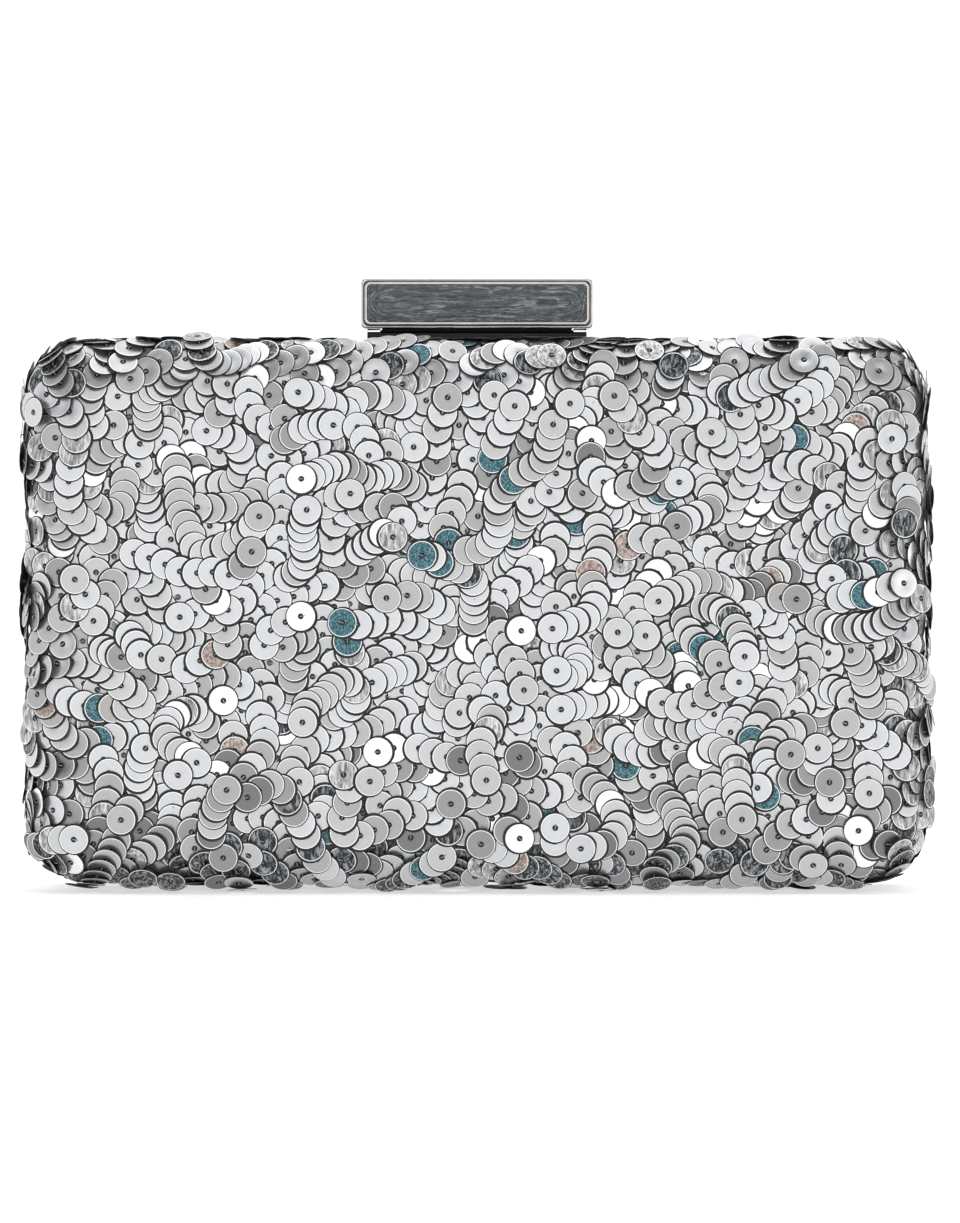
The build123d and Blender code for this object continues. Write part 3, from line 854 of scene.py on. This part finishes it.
NODE_MATERIALS = {
    "rail": NICKEL, "clasp_bar": NICKEL, "clasp_bezel": NICKEL, "clasp_inlay": ENAMEL,
    "clasp_base": DARK_CLASP_METAL, "clasp_bracket": DARK_CLASP_METAL, "spring": SPRING, "shell": BOX,
    "leaf": STEEL, "pin": STEEL, "rivets": STEEL}

for name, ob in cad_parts.items():
    wanted = [m for key, m in NODE_MATERIALS.items() if name.endswith(key)]
    if wanted:
        for s in ob.material_slots:
            s.material = wanted[0]

for half_name, is_back, seed in (("front", False, 7), ("back", True, 19)):
    cover(half_name, is_back)
    padding(half_name, is_back)
    lining(half_name, is_back)
    sew(half_name, is_back, seed)
pocket()

# ---------------------------------------------------------------- stage, light and camera

FLOOR_Z = min(float(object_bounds()[0][2]), 0.0) - 0.05 * MM


def cyclorama():
    """A pale floor that curves up behind the object and beside it, and is open in front.

    It sinks to make room for the front half when that hangs open."""
    flat, bend, high, spokes = 2.8, 0.7, 3.2, 72
    line = [(0.02, 0.0), (flat, 0.0)]
    line += [(flat + bend * math.sin(a), bend * (1 - math.cos(a)))
             for a in np.linspace(0.1, math.pi / 2, 14)]
    line.append((flat + bend, high))
    verts, faces = [], []
    for r, z in line:
        for k in range(spokes):
            a = 2 * math.pi * k / spokes
            wall = np.clip((math.sin(a) + 0.85) / 0.5, 0, 1)
            verts.append((r * math.cos(a), r * math.sin(a), z * wall * wall * (3 - 2 * wall)))
    for i in range(len(line) - 1):
        for k in range(spokes):
            m = (k + 1) % spokes
            faces.append((i * spokes + k, (i + 1) * spokes + k, (i + 1) * spokes + m, i * spokes + m))
    faces.append(tuple(range(spokes)))
    me = bpy.data.meshes.new("stage_floor")
    me.from_pydata(verts, [], faces)
    ob = bpy.data.objects.new("stage_floor", me)
    bpy.context.scene.collection.objects.link(ob)
    lowest = bpy.data.objects.new("stage_level", None)
    lowest.location = (0, -35 * MM, FLOOR_Z)
    bpy.context.scene.collection.objects.link(lowest)
    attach(lowest, "front_half")
    level = ob.constraints.new("COPY_LOCATION")
    level.target = lowest
    level.use_x = level.use_y = False

    def paper(nt, p):
        fac = noise(nt, coords(nt), 0.02, 2.0)
        colour = ramp(nt, fac, ((0.3, (0.71, 0.71, 0.71)), (0.7, (0.73, 0.73, 0.73))))
        nt.links.new(colour, p.inputs["Base Color"])

    me.materials.append(material("stage_paper", paper, Roughness=0.9, Emission_Strength=0.52,
                                 Emission_Color=(1, 1, 1, 1)))
    for p in me.polygons:
        p.use_smooth = True


def softbox(name, place, aim, size, radiance):
    """A rectangular soft light of a given brightness."""
    data = bpy.data.lights.new(name, "AREA")
    data.shape = "RECTANGLE"
    data.size, data.size_y = size
    data.energy = radiance * math.pi * size[0] * size[1]
    ob = bpy.data.objects.new(name, data)
    ob.location = place
    ob.rotation_euler = (Vector(aim) - Vector(place)).to_track_quat("-Z", "Y").to_euler()
    bpy.context.scene.collection.objects.link(ob)


cyclorama()
AIM = (0, 0, MID_Z)
softbox("front_box", (0, -2.2, 0.55), AIM, (2.6, 1.9), 1.0)
softbox("top_box", (0, -0.1, 1.9), AIM, (2.2, 1.6), 1.6)
softbox("back_box", (0.3, 1.5, 1.9), (0, 0.4, 0), (2.0, 1.0), 1.2)
world = bpy.context.scene.world or bpy.data.worlds.new("world")
bpy.context.scene.world = world
world.use_nodes = True
world.node_tree.nodes["Background"].inputs["Color"].default_value = (0.98, 0.99, 1.0, 1)
world.node_tree.nodes["Background"].inputs["Strength"].default_value = 0.30

VIEW_H = 257.4 * MM                  # what the picture's height spans at the bag
CAMERA_D = 1.1
camera_data = bpy.data.cameras.new("camera")
camera_data.sensor_width = 36.0
camera_data.lens = 36.0 * (CAMERA_D - 0.012) / VIEW_H
camera_data.clip_start = 0.01
camera_data.clip_end = 20
camera = bpy.data.objects.new("camera", camera_data)
camera.location = (0.65 * MM, -CAMERA_D, 55.7 * MM)
camera.rotation_euler = (math.pi / 2, 0, 0)
bpy.context.scene.collection.objects.link(camera)
bpy.context.scene.camera = camera
bpy.context.scene.view_settings.view_transform = "Standard"
